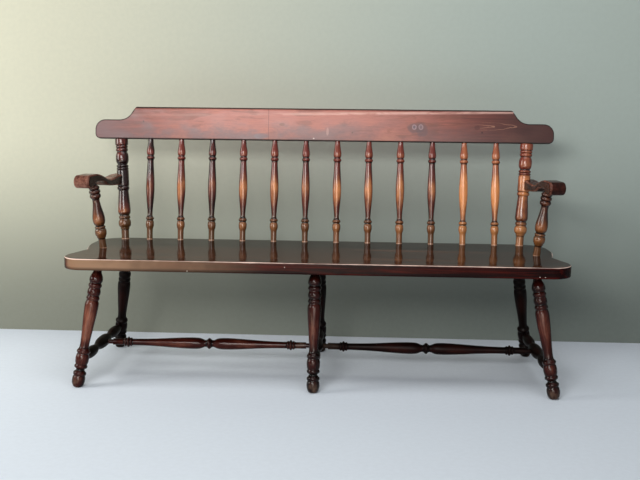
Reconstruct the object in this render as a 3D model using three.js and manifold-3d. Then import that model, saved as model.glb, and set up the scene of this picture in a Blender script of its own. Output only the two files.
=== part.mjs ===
// A deacon's bench: a carved plank seat on six turned legs, with a crest rail on turned posts and spindles.
// Millimetres and degrees. The floor is z 0, +X is to the right seen from the front, +Y is to the back.
import * as THREE from "three";
import { mergeVertices } from "three/addons/utils/BufferGeometryUtils.js";
import Module from "manifold-3d";

const wasm = await Module();
wasm.setup();

// Fits and tools

const clearance = 0.3; // gap all round a piece in its socket
const overrun = 60; // how far a cutting tool runs past the stock
const mergeReach = 1e-4; // corners closer than this are one corner
const degree = Math.PI / 180;
const fineSides = 8; // sides of a slender turned piece
const turnedSides = 10; // sides of a stout turned piece
const flatEaseSteps = 1; // facets on a plank's eased edge
const armEaseSteps = 2;

// Seat plank

const seat = {
  length: 1662,
  depth: 450,
  thickness: 38,
  top: 438,
  ease: 4,
  cornerRadius: 68,
  endDraw: 46, // how far the carved ends draw in
};

// The carved end from the front corner to the notch, then from the notch to the rear edge:
// [share of endDraw in from the end, share of the depth from the front edge].
const frontLobeShares = [
  [0, 0.151],
  [0.07, 0.207],
  [0.28, 0.262],
  [0.67, 0.384],
  [0.8, 0.416],
];
const rearLobeShares = [
  [0.8, 0.416],
  [0.65, 0.487],
  [0.43, 0.611],
  [0.41, 0.696],
  [0.54, 0.844],
  [1, 0.938],
  [1.76, 0.984],
  [2.74, 1],
];

// Back: crest rail, posts and spindles, all in one plane that leans back

const back = {
  leanAngle: 8,
  footInset: 26, // from the seat's rear edge to the line of the feet
  clearHeight: 367, // along the slope, from the seat's top to the crest rail
  spindleCount: 12,
  endGap: 90.25, // along the seat, from a post's foot to the nearest spindle's
};

const crest = {
  overhang: 94.27, // past the axis of a post's tenon
  height: 117.6,
  thickness: 26,
  ease: 3,
  endHeight: 69.5,
  bottomRadius: 18,
  topRadius: 36.5,
  shoulderLength: 93.5, // from the end to the foot of the ogee
  ogeeLength: 60,
};

// The hollow that climbs from the low end to the top edge: [share of ogeeLength, share of the rise].
const ogeeShares = [
  [0, 0],
  [0.33, 0.12],
  [0.6, 0.39],
  [0.75, 0.66],
  [0.9, 0.9],
  [1, 1],
];

const spindle = { diameter: 31, footTenon: 24, topTenon: 25, topTenonDiameter: 14 };

// Turned outlines, from the foot up: [share of the piece's length, share of its diameter].
const spindleShares = [
  [0, 0.69],
  [0.1, 0.69],
  [0.12, 0.88],
  [0.154, 0.97],
  [0.183, 0.84],
  [0.191, 0.76],
  [0.209, 0.97],
  [0.232, 0.63],
  [0.25, 0.6],
  [0.34, 0.75],
  [0.43, 0.93],
  [0.515, 1],
  [0.63, 0.94],
  [0.79, 0.73],
  [0.815, 0.97],
  [0.837, 0.74],
  [0.86, 0.91],
  [0.9, 0.86],
  [0.94, 0.68],
  [1, 0.6],
];

const post = {
  diameter: 47,
  endInset: 111, // from the seat's end to a post's foot
  splayAngle: 3,
  footTenon: 24,
  topTenon: 40,
  topTenonDiameter: 18,
};
const postBlockShare = 0.915; // diameter of the plain block that carries the arm, of the post's
const postShares = [
  [0, 0.6],
  [0.092, 0.6],
  [0.1, 0.69],
  [0.115, 0.69],
  [0.127, 0.88],
  [0.158, 0.97],
  [0.188, 0.87],
  [0.199, 0.78],
  [0.2155, 0.885],
  [0.2355, 0.745],
  [0.256, 0.93],
  [0.281, 0.98],
  [0.35, 0.92],
  [0.42, 0.84],
  [0.482, 0.765],
  [0.51, 0.935],
  [0.528, 0.82],
  [0.532, postBlockShare],
  [0.69, postBlockShare],
  [0.694, 0.84],
  [0.703, 0.935],
  [0.715, 0.83],
  [0.728, 0.935],
  [0.745, 0.725],
  [0.755, 0.78],
  [0.775, 0.94],
  [0.81, 0.99],
  [0.848, 0.93],
  [0.871, 0.76],
  [0.89, 0.935],
  [0.908, 0.82],
  [0.923, 0.935],
  [0.937, 0.83],
  [0.942, 1],
  [1, 1],
];

// The pin locks a post's top tenon, at this height above the crest's underside.
const pin = { diameter: 6, length: 22, height: 20 };

// Arms

const arm = {
  rise: 198, // from the seat to the underside at the post
  height: 60,
  reach: 322, // from the post's axis to the front
  lap: 16, // past the post's axis
  frontWidth: 56,
  rearWidth: 46,
  ease: 8,
  rollRadius: 22.2,
  besidePost: 18.4, // from the post's axis out to the arm's middle plane
  swingAngle: 7.5,
  screwHeight: 21, // above the underside
};

// Side view of the arm, under it from the roll to the post and back over the top:
// [share of the reach forward of the post, share of the height].
const armUnderShares = [
  [0.88, 0.264],
  [0.86, 0.29],
  [0.83, 0.383],
  [0.77, 0.483],
  [0.705, 0.508],
  [0.64, 0.483],
  [0.55, 0.417],
  [0.495, 0.26],
  [0.45, 0.183],
  [0.36, 0.117],
  [0.2, 0.05],
  [0.08, 0.01],
];
const armTopShares = [
  [0.08, 0.633],
  [0.2, 0.567],
  [0.31, 0.517],
  [0.39, 0.525],
  [0.465, 0.6],
  [0.54, 0.75],
  [0.635, 0.9],
  [0.73, 0.99],
  [0.82, 1],
];

const stump = {
  diameter: 42.5,
  endInset: 84, // from the seat's end to a stump's foot
  footBehindFront: 224, // from the seat's front edge back to a stump's foot
  topBehindFront: 80, // from the arm's front back to the stump's axis
  topInset: 9.5, // from the arm's middle plane in to the stump's axis
  footTenon: 24,
  topTenon: 18,
};
const stumpShares = [
  [0, 0.59],
  [0.14, 0.59],
  [0.17, 0.74],
  [0.205, 0.9],
  [0.248, 0.94],
  [0.285, 0.87],
  [0.297, 0.75],
  [0.3176, 0.87],
  [0.341, 0.68],
  [0.38, 0.88],
  [0.4426, 1],
  [0.51, 0.93],
  [0.6, 0.73],
  [0.7196, 0.575],
  [0.755, 0.65],
  [0.775, 0.83],
  [0.797, 0.895],
  [0.827, 0.75],
  [0.85, 0.9],
  [0.87, 0.9],
  [0.893, 0.75],
  [0.914, 0.87],
  [0.934, 0.8],
  [0.952, 0.54],
  [0.97, 0.47],
  [1, 0.47],
];

const screw = { diameter: 4.2, headDiameter: 8.5, headHeight: 3, length: 33, tipLength: 6, tipDiameter: 0.4 };
const plug = { diameter: 10, length: 6 };

// Legs: the places of a leg's top on the seat's underside and of its foot on the floor

const leg = {
  diameter: 46,
  turning: 390, // from the floor to the plain neck
  neckDiameter: 27,
  tenon: 24,
};
const legStance = {
  frontEndInset: 105.5, // from the seat's end to the top of a corner leg
  rearEndInset: 121,
  frontSplay: 63.5, // how far outwards a corner leg's foot stands from its top
  rearSplay: 67,
  frontTopInset: 89.4, // from the seat's front edge
  frontFootInset: 18.1,
  middleFrontFootInset: 20,
  rearTopInset: 54, // from the seat's rear edge
  rearFootOutset: 69,
  middleRearFootOutset: 71,
};
const legBallShares = [0.251, 0.97]; // the ball that takes a stretcher
const socketDrop = { front: 6, rear: 1 }; // from the ball's middle down to the stretcher's socket
const legShares = [
  [-0.03, 0.4],
  [0, 0.52],
  [0.015, 0.74],
  [0.04, 0.92],
  [0.07, 0.945],
  [0.101, 0.8],
  [0.119, 0.945],
  [0.134, 0.86],
  [0.151, 0.6],
  [0.164, 0.7],
  [0.179, 0.945],
  [0.197, 0.84],
  [0.22, 0.93],
  legBallShares,
  [0.294, 0.83],
  [0.308, 0.98],
  [0.324, 0.84],
  [0.346, 0.68],
  [0.41, 0.69],
  [0.52, 0.79],
  [0.63, 0.94],
  [0.71, 1],
  [0.755, 0.84],
  [0.769, 0.96],
  [0.789, 0.82],
  [0.826, 0.96],
  [0.861, 0.82],
  [0.882, 0.97],
  [0.9, 0.82],
  [0.925, 0.97],
  [0.956, 0.88],
  [0.978, 0.68],
];

// Stretchers

const sideStretcher = { diameter: 42, tenonDiameter: 17, tenon: 20 };
// Half of the outline, from the middle out: [share of half the span, share of the diameter].
const sideStretcherShares = [
  [0, 1],
  [0.07, 0.985],
  [0.14, 0.92],
  [0.21, 0.78],
  [0.27, 0.63],
  [0.32, 0.565],
  [0.37, 0.61],
  [0.44, 0.76],
  [0.5, 0.85],
  [0.57, 0.88],
  [0.64, 0.86],
  [0.72, 0.76],
  [0.8, 0.58],
  [0.86, 0.46],
];

const longStretcher = { diameter: 41, tenonDiameter: 16, tenon: 12 };
// Half of the outline, from the middle out: [share of half the span, share of the diameter].
const longStretcherShares = [
  [0, 0.96],
  [0.01, 0.9],
  [0.022, 0.68],
  [0.035, 0.6],
  [0.05, 0.66],
  [0.075, 0.86],
  [0.105, 0.965],
  [0.16, 1],
  [0.24, 0.955],
  [0.32, 0.875],
  [0.4, 0.78],
  [0.48, 0.69],
  [0.57, 0.61],
  [0.66, 0.575],
  [0.72, 0.565],
  [0.731, 0.76],
  [0.742, 0.66],
  [0.757, 0.92],
  [0.772, 0.66],
  [0.783, 0.76],
  [0.794, 0.57],
  [0.9, 0.56],
];

// Finishes, one for each kind of piece

const finish = (color, roughness, metalness = 0) =>
  new THREE.MeshStandardMaterial({ color, roughness, metalness });
const crestWood = finish(0x6f3a30, 0.28);
const seatWood = finish(0x35170f, 0.2);
const backWood = finish(0x7b3a22, 0.26);
const armWood = finish(0x4a2019, 0.26);
const legWood = finish(0x30140f, 0.3);
const steel = finish(0x9a9a98, 0.35, 0.9);

// Solids and cuts

// The mesh as a solid, in the frame of another object.
function solidIn(frame, mesh) {
  const geometry = mesh.geometry.clone();
  geometry.deleteAttribute("normal");
  geometry.deleteAttribute("uv");
  geometry.applyMatrix4(frame.matrixWorld.clone().invert().multiply(mesh.matrixWorld));
  const merged = mergeVertices(geometry, mergeReach);
  const vertProperties = merged.attributes.position.array;
  const triVerts = new Uint32Array(merged.index.array);
  return new wasm.Manifold(new wasm.Mesh({ numProp: 3, vertProperties, triVerts }));
}

function geometryOf(solid) {
  const { numProp, vertProperties, triVerts } = solid.getMesh();
  const geometry = new THREE.BufferGeometry();
  geometry.setAttribute("position", new THREE.BufferAttribute(vertProperties, numProp));
  geometry.setIndex(new THREE.BufferAttribute(triVerts, 1));
  const flat = geometry.toNonIndexed();
  flat.computeVertexNormals();
  return flat;
}

function cut(mesh, tools) {
  const left = tools.reduce((solid, tool) => solid.subtract(solidIn(mesh, tool)), solidIn(mesh, mesh));
  mesh.geometry = geometryOf(left);
}

// A lathe-turned solid along +Z through [height, diameter] rows, closed at both ends.
function turned(rows, sides) {
  const [bottom] = rows[0];
  const [top] = rows.at(-1);
  const side = rows.map(([height, diameter]) => new THREE.Vector2(diameter / 2, height));
  const outline = [new THREE.Vector2(0, bottom), ...side, new THREE.Vector2(0, top)];
  return new THREE.LatheGeometry(outline, sides).rotateX(Math.PI / 2);
}

const rowsOf = (shares, length, diameter) => shares.map(([along, wide]) => [along * length, wide * diameter]);

// Both halves of an outline that is the same each way from its middle.
function bothWays(half) {
  const other = half.slice(1).reverse();
  return [...other.map(([along, wide]) => [-along, wide]), ...half];
}

// A tool that stands in the frame of a piece or group.
function toolIn(frame, geometry) {
  const tool = new THREE.Mesh(geometry);
  tool.matrixWorld.copy(frame.matrixWorld);
  return tool;
}

// A bore along a piece's own axis, wider than the piece by the clearance.
function boreFor(piece, diameter, from, to, sides) {
  const wide = diameter + 2 * clearance;
  return toolIn(piece, turned([[from, wide], [to, wide]], sides));
}

// Stands a +Z piece at one point so that it runs towards another.
function aim(object, from, towards) {
  object.position.copy(from);
  const direction = towards.clone().sub(from).normalize();
  object.quaternion.setFromUnitVectors(new THREE.Vector3(0, 0, 1), direction);
  return object;
}

function add(parent, name, geometry, material) {
  const mesh = new THREE.Mesh(geometry, material);
  mesh.name = name;
  parent.add(mesh);
  return mesh;
}

// A closed outline from its right half, which runs from front to rear or from bottom to top.
function mirrored(half) {
  const left = half.map((point) => new THREE.Vector2(-point.x, point.y)).reverse();
  return new THREE.Shape([...half, ...left]);
}

const arc = (x, y, radius, from, to, steps) =>
  new THREE.EllipseCurve(x, y, radius, radius, from * degree, to * degree).getPoints(steps);

const plate = (shape, depth, ease, easeSteps) =>
  new THREE.ExtrudeGeometry(shape, {
    depth: depth - 2 * ease,
    bevelThickness: ease,
    bevelSize: ease,
    bevelOffset: -ease,
    bevelSegments: easeSteps,
  }).translate(0, 0, ease);

// The bench and its leaning back

const bench = new THREE.Group();
const seatFront = -seat.depth / 2;
const seatRear = seat.depth / 2;
const seatUnder = seat.top - seat.thickness;
const seatEnd = seat.length / 2;
const footLine = seatRear - back.footInset;
const postSpread = seatEnd - post.endInset;
const crestEnd = postSpread + back.clearHeight * Math.tan(post.splayAngle * degree) + crest.overhang;
const sideNames = [
  [-1, "left"],
  [1, "right"],
];

const backFrame = new THREE.Group();
backFrame.position.set(0, footLine, seat.top);
backFrame.rotation.x = -back.leanAngle * degree;
bench.add(backFrame);

function seatOutline() {
  const radius = seat.cornerRadius;
  const place = ([inward, along]) =>
    new THREE.Vector2(seatEnd - inward * seat.endDraw, seatFront + along * seat.depth);
  const corner = arc(seatEnd - radius, seatFront + radius, radius, -90, 0, 5);
  const front = new THREE.SplineCurve(frontLobeShares.map(place)).getPoints(6);
  const rear = new THREE.SplineCurve(rearLobeShares.map(place)).getPoints(12);
  return mirrored([...corner, ...front.slice(1), ...rear.slice(1)]);
}

function makeSeat() {
  const geometry = plate(seatOutline(), seat.thickness, seat.ease, flatEaseSteps);
  const mesh = add(bench, "seat_plank", geometry, seatWood);
  mesh.position.z = seatUnder;
  return mesh;
}

function crestOutline() {
  const { bottomRadius, topRadius } = crest;
  const bottom = arc(crestEnd - bottomRadius, bottomRadius, bottomRadius, -90, 0, 3);
  const top = arc(crestEnd - topRadius, crest.endHeight - topRadius, topRadius, 0, 90, 6);
  const rise = crest.height - crest.endHeight;
  const ogeeFoot = crestEnd - crest.shoulderLength;
  const place = ([along, up]) =>
    new THREE.Vector2(ogeeFoot - along * crest.ogeeLength, crest.endHeight + up * rise);
  const ogee = new THREE.SplineCurve(ogeeShares.map(place)).getPoints(8);
  return mirrored([...bottom, ...top, ...ogee]);
}

function makeCrest() {
  const geometry = plate(crestOutline(), crest.thickness, crest.ease, flatEaseSteps);
  geometry.rotateX(Math.PI / 2).translate(0, crest.thickness / 2, 0);
  const mesh = add(backFrame, "crest_rail", geometry, crestWood);
  mesh.position.z = back.clearHeight + clearance;
  return mesh;
}

function makeSpindle(index) {
  const rows = rowsOf(spindleShares, back.clearHeight, spindle.diameter);
  const footDiameter = rows[0][1];
  const geometry = turned(
    [
      [-spindle.footTenon, footDiameter],
      ...rows,
      [back.clearHeight, spindle.topTenonDiameter],
      [back.clearHeight + spindle.topTenon, spindle.topTenonDiameter],
    ],
    fineSides,
  );
  const name = "back_spindle_" + String(index + 1).padStart(2, "0");
  const mesh = add(backFrame, name, geometry, backWood);
  const outermost = postSpread - back.endGap;
  mesh.position.x = outermost * ((2 * index) / (back.spindleCount - 1) - 1);
  return mesh;
}

// A post runs past the crest's underside along its own tilted axis, is trimmed level with it,
// and then has its tenon joined on, turned on the post's own axis.
const postReach = back.clearHeight / Math.cos(post.splayAngle * degree);

function makePost(side, name) {
  const rows = rowsOf(postShares, postReach, post.diameter);
  const [, footDiameter] = rows[0];
  const tilt = (post.diameter / 2) * Math.tan(post.splayAngle * degree);
  const geometry = turned(
    [[-post.footTenon, footDiameter], ...rows, [postReach + tilt, post.diameter]],
    turnedSides,
  );
  const mesh = add(backFrame, "back_post_" + name, geometry, backWood);
  mesh.position.x = side * postSpread;
  mesh.rotation.y = side * post.splayAngle * degree;
  mesh.updateMatrixWorld(true);
  const above = new THREE.BoxGeometry(2 * crestEnd, overrun, overrun);
  cut(mesh, [toolIn(backFrame, above.translate(0, 0, back.clearHeight + overrun / 2))]);
  const diameter = post.topTenonDiameter;
  const tenon = turned([[postReach / 2, diameter], [postReach + post.topTenon, diameter]], turnedSides);
  mesh.geometry = geometryOf(solidIn(mesh, mesh).add(solidIn(mesh, toolIn(mesh, tenon))));
  return mesh;
}

function makePin(side, name) {
  const geometry = turned([[0, pin.diameter], [pin.length, pin.diameter]], fineSides);
  const mesh = add(backFrame, "crest_pin_" + name, geometry, backWood);
  const rise = back.clearHeight + pin.height;
  const across = side * (postSpread + rise * Math.tan(post.splayAngle * degree));
  const from = new THREE.Vector3(across, crest.thickness / 2, rise);
  return aim(mesh, from, from.clone().setY(0));
}

// Arms, their stumps and their screws

function armOutline() {
  const place = ([along, up]) => new THREE.Vector2(-along * arm.reach, up * arm.height);
  const roll = arc(arm.rollRadius - arm.reach, arm.height - arm.rollRadius, arm.rollRadius, 90, 270, 7);
  const under = new THREE.SplineCurve(armUnderShares.map(place)).getPoints(13);
  const over = new THREE.SplineCurve(armTopShares.map(place)).getPoints(10);
  const [, rearRise] = armTopShares.at(0);
  const end = [new THREE.Vector2(arm.lap, 0), new THREE.Vector2(arm.lap, rearRise * arm.height)];
  return new THREE.Shape([...roll, ...under, ...end, ...over]);
}

// The side view is extruded across the arm and then narrowed towards the post.
function armGeometry() {
  const geometry = plate(armOutline(), arm.frontWidth, arm.ease, armEaseSteps);
  geometry.rotateX(Math.PI / 2).rotateZ(Math.PI / 2).translate(-arm.frontWidth / 2, 0, 0);
  const position = geometry.attributes.position;
  for (let i = 0; i < position.count; i++) {
    const forward = -position.getY(i) / arm.reach;
    const width = arm.rearWidth + (arm.frontWidth - arm.rearWidth) * forward;
    position.setX(i, (position.getX(i) * width) / arm.frontWidth);
  }
  return geometry;
}

function makeArm(side, name) {
  const mesh = add(bench, "arm_" + name, armGeometry(), armWood);
  const rise = (arm.rise + arm.screwHeight) / Math.cos(back.leanAngle * degree);
  const postAcross = postSpread + rise * Math.tan(post.splayAngle * degree);
  mesh.position.set(
    side * (postAcross + arm.besidePost),
    footLine + rise * Math.sin(back.leanAngle * degree),
    seat.top + arm.rise,
  );
  mesh.rotation.z = side * arm.swingAngle * degree;
  mesh.updateMatrixWorld(true);
  return mesh;
}

function makeStump(side, name, armMesh) {
  const hollow = Math.max(...armUnderShares.map(([, up]) => up)) * arm.height;
  const top = armMesh.localToWorld(
    new THREE.Vector3(-side * stump.topInset, stump.topBehindFront - arm.reach, hollow),
  );
  const foot = new THREE.Vector3(
    side * (seatEnd - stump.endInset),
    seatFront + stump.footBehindFront,
    seat.top,
  );
  const length = foot.distanceTo(top);
  const rows = rowsOf(stumpShares, length, stump.diameter);
  const [, footDiameter] = rows[0];
  const [, neckDiameter] = rows.at(-1);
  const geometry = turned(
    [[-stump.footTenon, footDiameter], ...rows, [length + stump.topTenon, neckDiameter]],
    turnedSides,
  );
  const mesh = aim(add(bench, "arm_stump_" + name, geometry, armWood), foot, top);
  mesh.userData = { length, footDiameter, neckDiameter };
  return mesh;
}

function makeScrew(side, name, armMesh) {
  const rows = [
    [0, screw.headDiameter],
    [screw.headHeight, screw.diameter],
    [screw.length - screw.tipLength, screw.diameter],
    [screw.length, screw.tipDiameter],
  ];
  const geometry = turned(rows, fineSides);
  const mesh = add(bench, "arm_screw_" + name, geometry, steel);
  const face = arm.rearWidth / 2;
  const head = armMesh.localToWorld(
    new THREE.Vector3(side * (face - plug.length - clearance), 0, arm.screwHeight),
  );
  return aim(mesh, head, armMesh.localToWorld(new THREE.Vector3(0, 0, arm.screwHeight)));
}

function makePlug(side, name, armMesh) {
  const geometry = turned([[0, plug.diameter], [plug.length, plug.diameter]], turnedSides);
  const mesh = add(bench, "screw_plug_" + name, geometry, armWood);
  const face = armMesh.localToWorld(new THREE.Vector3((side * arm.rearWidth) / 2, 0, arm.screwHeight));
  return aim(mesh, face, armMesh.localToWorld(new THREE.Vector3(0, 0, arm.screwHeight)));
}

// Legs and stretchers

function makeLeg(name, topX, topY, footX, footY) {
  const foot = new THREE.Vector3(footX, footY, 0);
  const top = new THREE.Vector3(topX, topY, seatUnder);
  const length = foot.distanceTo(top);
  const geometry = turned(
    [
      ...rowsOf(legShares, leg.turning, leg.diameter),
      [leg.turning, leg.neckDiameter],
      [length + leg.tenon, leg.neckDiameter],
    ],
    turnedSides,
  );
  const mesh = aim(add(bench, "leg_" + name, geometry, legWood), foot, top);
  mesh.userData = { length };
  mesh.updateMatrixWorld(true);
  return mesh;
}

const socketOf = (legMesh, drop) =>
  legMesh.localToWorld(new THREE.Vector3(0, 0, legBallShares[0] * leg.turning - drop));

// A stretcher's frame sits at the middle of its span, so that its two halves are alike.
function makeStretcher(name, from, to, sizes, shares) {
  const half = from.distanceTo(to) / 2;
  const bearing = half - sizes.bearing;
  const end = bearing + sizes.tenon;
  const rows = [
    ...rowsOf(shares, half, sizes.diameter),
    [bearing, sizes.tenonDiameter],
    [end, sizes.tenonDiameter],
  ];
  const mesh = add(bench, name, turned(bothWays(rows), fineSides), legWood);
  aim(mesh, from.clone().lerp(to, 1 / 2), to);
  mesh.userData = { end };
  mesh.updateMatrixWorld(true);
  return mesh;
}

// Assembly

const seatMesh = makeSeat();
const crestMesh = makeCrest();
const spindles = Array.from({ length: back.spindleCount }, (_, index) => makeSpindle(index));
bench.updateMatrixWorld(true);

const frontTop = seatFront + legStance.frontTopInset;
const rearTop = seatRear - legStance.rearTopInset;
const frontFoot = seatFront + legStance.frontFootInset;
const rearFoot = seatRear + legStance.rearFootOutset;
const middleLegs = [
  makeLeg("front_middle", 0, frontTop, 0, seatFront + legStance.middleFrontFootInset),
  makeLeg("rear_middle", 0, rearTop, 0, seatRear + legStance.middleRearFootOutset),
];
const sideSizes = { ...sideStretcher, bearing: (leg.diameter * legBallShares[1]) / 2 };
const longSizes = { ...longStretcher, bearing: sideStretcher.diameter / 2 };
const middleStretcher = makeStretcher(
  "side_stretcher_middle",
  socketOf(middleLegs[0], socketDrop.front),
  socketOf(middleLegs[1], socketDrop.rear),
  sideSizes,
  sideStretcherShares,
);
const legs = [...middleLegs];
const crossings = [[middleStretcher, middleLegs]];

for (const [side, name] of sideNames) {
  const postMesh = makePost(side, name);
  const pinMesh = makePin(side, name);
  const armMesh = makeArm(side, name);
  const stumpMesh = makeStump(side, name, armMesh);
  const screwMesh = makeScrew(side, name, armMesh);
  const plugMesh = makePlug(side, name, armMesh);
  bench.updateMatrixWorld(true);

  const tenonEnd = postReach + post.topTenon + clearance;
  const tenonBore = boreFor(postMesh, post.topTenonDiameter, postReach / 2, tenonEnd, turnedSides);
  const pinBore = boreFor(pinMesh, pin.diameter, -overrun, pin.length + clearance, fineSides);
  cut(crestMesh, [tenonBore, pinBore]);
  const screwBore = boreFor(screwMesh, screw.diameter, 0, screw.length + clearance, fineSides);
  cut(postMesh, [pinBore, screwBore]);

  const block = boreFor(postMesh, post.diameter * postBlockShare, 0, postReach, turnedSides);
  const stumpEnd = stumpMesh.userData.length + stump.topTenon + clearance;
  const stumpBore = boreFor(stumpMesh, stumpMesh.userData.neckDiameter, stumpEnd / 2, stumpEnd, turnedSides);
  const headSink = boreFor(screwMesh, screw.headDiameter, -overrun, screw.headHeight, fineSides);
  const plugSink = boreFor(plugMesh, plug.diameter, -overrun, plug.length + clearance, turnedSides);
  cut(armMesh, [block, stumpBore, screwBore, headSink, plugSink]);

  const footBores = [
    [postMesh, post.footTenon, post.diameter * postShares[0][1]],
    [stumpMesh, stump.footTenon, stumpMesh.userData.footDiameter],
  ].map(([mesh, depth, diameter]) => boreFor(mesh, diameter, -depth - clearance, overrun, turnedSides));
  cut(seatMesh, footBores);

  const frontTopX = seatEnd - legStance.frontEndInset;
  const rearTopX = seatEnd - legStance.rearEndInset;
  const frontFootX = frontTopX + legStance.frontSplay;
  const rearFootX = rearTopX + legStance.rearSplay;
  const pair = [
    makeLeg("front_" + name, side * frontTopX, frontTop, side * frontFootX, frontFoot),
    makeLeg("rear_" + name, side * rearTopX, rearTop, side * rearFootX, rearFoot),
  ];
  const outer = makeStretcher(
    "side_stretcher_" + name,
    socketOf(pair[0], socketDrop.front),
    socketOf(pair[1], socketDrop.rear),
    sideSizes,
    sideStretcherShares,
  );
  const long = makeStretcher(
    "long_stretcher_" + name,
    middleStretcher.position,
    outer.position,
    longSizes,
    longStretcherShares,
  );
  const longEnd = long.userData.end + clearance;
  const longBore = boreFor(long, longStretcher.tenonDiameter, -longEnd, longEnd, fineSides);
  cut(middleStretcher, [longBore]);
  cut(outer, [longBore]);
  legs.push(...pair);
  crossings.push([outer, pair]);
}

for (const [stretcher, pair] of crossings) {
  const end = stretcher.userData.end + clearance;
  const bore = boreFor(stretcher, sideStretcher.tenonDiameter, -end, end, fineSides);
  for (const legMesh of pair) cut(legMesh, [bore]);
}

const underFloor = new THREE.BoxGeometry(seat.length * 2, seat.length, overrun);
const floor = toolIn(bench, underFloor.translate(0, 0, -overrun / 2));
for (const legMesh of legs) {
  cut(legMesh, [floor]);
  const end = legMesh.userData.length + leg.tenon + clearance;
  cut(seatMesh, [boreFor(legMesh, leg.neckDiameter, end / 2, end, turnedSides)]);
}

const spindleFoot = spindle.diameter * spindleShares[0][1];
const topEnd = back.clearHeight + spindle.topTenon + clearance;
for (const mesh of spindles) {
  cut(seatMesh, [boreFor(mesh, spindleFoot, -spindle.footTenon - clearance, overrun, fineSides)]);
  cut(crestMesh, [boreFor(mesh, spindle.topTenonDiameter, topEnd / 2, topEnd, fineSides)]);
}

// The origin is on the floor under the middle of the whole bench.
const box = new THREE.Box3().setFromObject(bench, true);
bench.position.y = -(box.min.y + box.max.y) / 2;

export default bench;
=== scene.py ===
"""A deacon's bench in front of a pale wall: the looks of each wooden piece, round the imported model."""
from bisect import bisect_left
from math import cos, pi, radians, sin, sqrt, tan

import bmesh
import bpy
from mathutils import Matrix, Vector


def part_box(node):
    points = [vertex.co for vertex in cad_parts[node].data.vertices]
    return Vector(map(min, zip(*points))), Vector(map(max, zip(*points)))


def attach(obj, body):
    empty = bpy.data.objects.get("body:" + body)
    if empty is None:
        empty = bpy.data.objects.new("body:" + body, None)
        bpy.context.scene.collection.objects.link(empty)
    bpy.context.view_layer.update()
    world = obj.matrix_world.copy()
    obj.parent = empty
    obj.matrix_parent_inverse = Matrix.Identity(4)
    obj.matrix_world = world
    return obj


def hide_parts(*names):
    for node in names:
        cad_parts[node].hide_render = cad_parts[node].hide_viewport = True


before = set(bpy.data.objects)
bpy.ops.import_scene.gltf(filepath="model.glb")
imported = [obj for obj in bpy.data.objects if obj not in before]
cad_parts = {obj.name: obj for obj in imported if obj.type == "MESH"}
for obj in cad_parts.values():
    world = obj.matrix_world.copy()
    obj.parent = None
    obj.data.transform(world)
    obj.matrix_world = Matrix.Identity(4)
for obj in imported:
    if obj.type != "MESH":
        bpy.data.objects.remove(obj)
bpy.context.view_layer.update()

# Everything is modelled in millimetres with the seat's middle at y 0, and then placed in metres.
MM = 0.001
seat_low, seat_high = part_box("seat_plank")
SEAT_MIDDLE = (seat_low.y + seat_high.y) / 2
PLACE = Matrix.Translation((0, SEAT_MIDDLE, 0)) @ Matrix.Scale(MM, 4)
SIDE_NAMES = [(-1, "left"), (1, "right")]

# How finely the pieces are made: faces round a turning, millimetres from one row of it to the next, the corner
# in degrees past which an edge shades sharp, and the distances within which points are one
ROUND = dict(thick=40, thin=36)
PITCH = dict(upright=4, stretcher=3.5)
CORNER = dict(board=35, turned=60)
MERGE, REPEAT = 0.002, 0.05

# Sizes of the boards, the same as the model's

GLUE_GAP = 0.3
SEAT = dict(length=1662, depth=450, thickness=38, top=438, top_ease=5, low_ease=3.5, corner=68, end_draw=46)
FRONT_LOBE = [(0, 0.151), (0.07, 0.207), (0.28, 0.262), (0.67, 0.384), (0.8, 0.416)]
REAR_LOBE = [
    (0.8, 0.416), (0.65, 0.487), (0.43, 0.611), (0.41, 0.696), (0.54, 0.844), (1, 0.938), (1.76, 0.984),
    (2.74, 1),
]
SEAT_END = SEAT["length"] / 2
SEAT_FRONT = -SEAT["depth"] / 2
SEAT_REAR = SEAT["depth"] / 2
SEAT_UNDER = SEAT["top"] - SEAT["thickness"]

LEAN = radians(8)
POST_SPLAY = radians(3)
SPINDLE_COUNT = 12
BACK_HEIGHT = 367
BACK = dict(rear_inset=26, post_inset=111, post_short=1.3, spindle_inset=90.25, crest_overhang=94.27)
FOOT_LINE = SEAT_REAR - BACK["rear_inset"]
POST_SPREAD = SEAT_END - BACK["post_inset"]
POST_LENGTH = BACK_HEIGHT / cos(POST_SPLAY)
SPINDLE_SPREAD = POST_SPREAD - BACK["spindle_inset"]
BACK_PLANE = Matrix.Translation((0, FOOT_LINE, SEAT["top"])) @ Matrix.Rotation(-LEAN, 4, "X")

CREST_END = POST_SPREAD + BACK_HEIGHT * tan(POST_SPLAY) + BACK["crest_overhang"]
CREST = dict(height=117.6, thickness=26, ease=2.4, end_height=69.5, low_corner=18, high_corner=36.5)
CREST_OGEE = dict(shoulder=93.5, length=60)
OGEE = [(0, 0), (0.33, 0.12), (0.6, 0.39), (0.75, 0.66), (0.9, 0.9), (1, 1)]
CREST_ROLL = 9
CREST_ROLL_CUTS = (0.6, 1.4, 2.5, 3.8, 5.4, 7.2, 8.9)

ARM = dict(rise=198, height=60, reach=322, lap=16, front_width=56, rear_width=46, ease=8, roll=22.2)
ARM_PLACE = dict(beside_post=18.4, swing=radians(7.5), screw_height=21)
ARM_UNDER = [
    (0.88, 0.264), (0.86, 0.29), (0.83, 0.383), (0.77, 0.483), (0.705, 0.508), (0.64, 0.483), (0.55, 0.417),
    (0.495, 0.26), (0.45, 0.183), (0.36, 0.117), (0.2, 0.05), (0.08, 0.01),
]
ARM_OVER = [
    (0.08, 0.633), (0.2, 0.567), (0.31, 0.517), (0.39, 0.525), (0.465, 0.6), (0.54, 0.75), (0.635, 0.9),
    (0.73, 0.99), (0.82, 1),
]
STUMP_PLACE = dict(end_inset=84, behind_front=224, top_behind_front=80, top_inset=9.5)

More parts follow.
